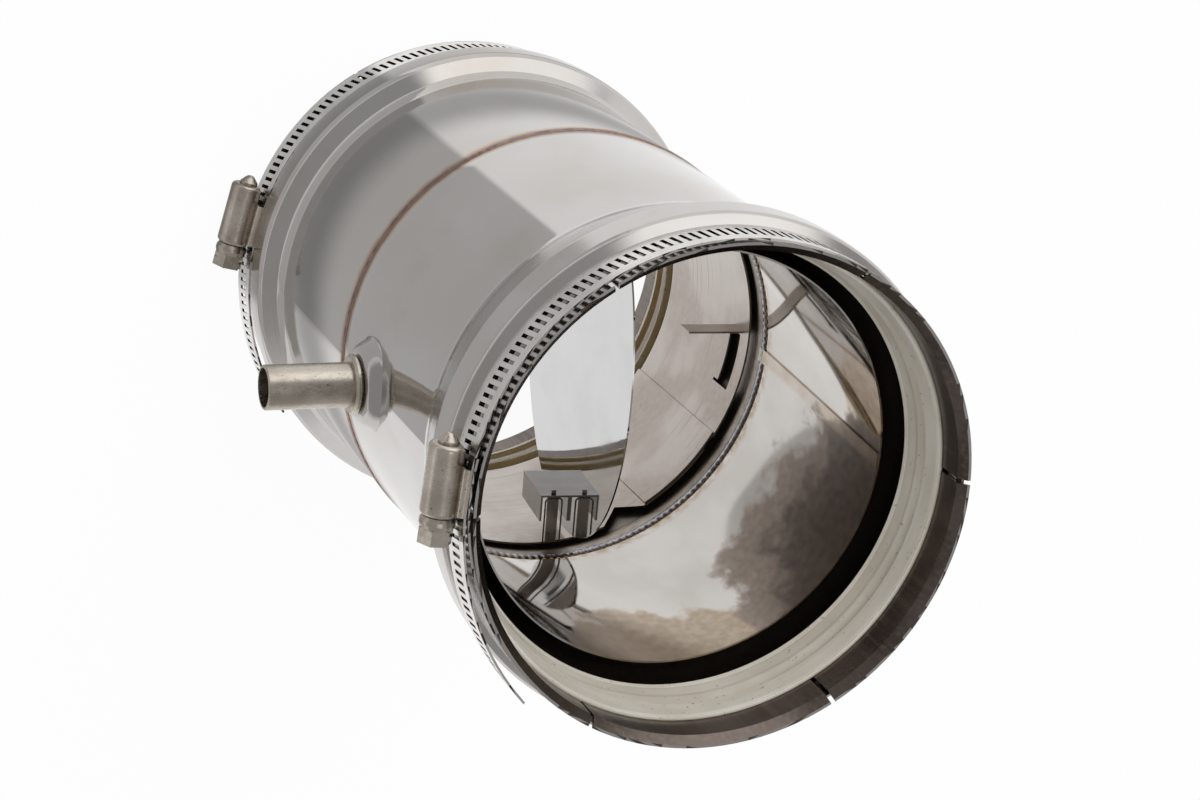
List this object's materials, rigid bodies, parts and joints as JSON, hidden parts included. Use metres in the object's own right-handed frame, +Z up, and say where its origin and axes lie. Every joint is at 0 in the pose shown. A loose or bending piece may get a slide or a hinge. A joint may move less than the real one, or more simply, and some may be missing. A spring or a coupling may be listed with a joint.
{
  "type": "appliance vent adapter",
  "caption": "Short steel flue adapter with a gasketed clamp socket at each end, a side drain, an inner drip cone and a pivoting damper.",
  "frame": {"origin": "centre of the bottom rim, the end that fits on the appliance, in the plane of that rim", "axes": "+Z runs up the flue to the vent end, +X is the way the condensate drain points, +Y completes the right-handed frame and runs along the damper's pivot line"},
  "size_m": [0.1656, 0.1418, 0.2287],
  "materials": {
    "shell_steel": "bright satin",
    "liner_steel": "bright, heat tinted",
    "nipple_steel": "brushed",
    "upper_gasket_rubber": "satin ivory",
    "lower_gasket_rubber": "satin amber",
    "sleeve_steel": "satin",
    "blade_steel": "bright",
    "spring_wire": "drawn wire",
    "band_steel": "bright satin",
    "housing_steel": "satin",
    "screw_steel": "plated"
  },
  "bodies": {
    "shell": {"upper_shell": "shell_steel", "lower_shell": "shell_steel", "drip_liner": "liner_steel", "drain_nipple": "nipple_steel", "upper_gasket": "upper_gasket_rubber", "lower_gasket": "lower_gasket_rubber", "damper_sleeve": "sleeve_steel", "hairpin_spring": "spring_wire"},
    "damper": {"damper_blade": "blade_steel", "lower_pivot_angle": "blade_steel", "upper_pivot_angle": "blade_steel"},
    "upper_clamp": {"upper_clamp_band": "band_steel", "upper_clamp_housing": "housing_steel"},
    "upper_screw": {"upper_clamp_screw": "screw_steel"},
    "lower_clamp": {"lower_clamp_band": "band_steel", "lower_clamp_housing": "housing_steel"},
    "lower_screw": {"lower_clamp_screw": "screw_steel"}
  },
  "joints": [
    {"name": "damper_pivot", "type": "hinge", "parent": "shell", "child": "damper", "pos_m": [-0.0044, 0, 0.0931], "axis": [0, 1, 0], "range_deg": [-95.5, 0]},
    {"name": "upper_clamp_turn", "type": "hinge", "parent": "shell", "child": "upper_clamp", "pos_m": [0, 0, 0.2187], "axis": [0, 0, 1], "continuous": true},
    {"name": "lower_clamp_turn", "type": "hinge", "parent": "shell", "child": "lower_clamp", "pos_m": [0, 0, 0.00734], "axis": [0, 0, 1], "continuous": true},
    {"name": "upper_screw_turn", "type": "hinge", "parent": "upper_clamp", "child": "upper_screw", "pos_m": [0.07326, -0.00589, 0.2187], "axis": [0.0802, 0.9968, 0], "continuous": true},
    {"name": "lower_screw_turn", "type": "hinge", "parent": "lower_clamp", "child": "lower_screw", "pos_m": [0.07172, -0.01603, 0.00734], "axis": [0.2181, 0.9759, 0], "continuous": true}
  ]
}
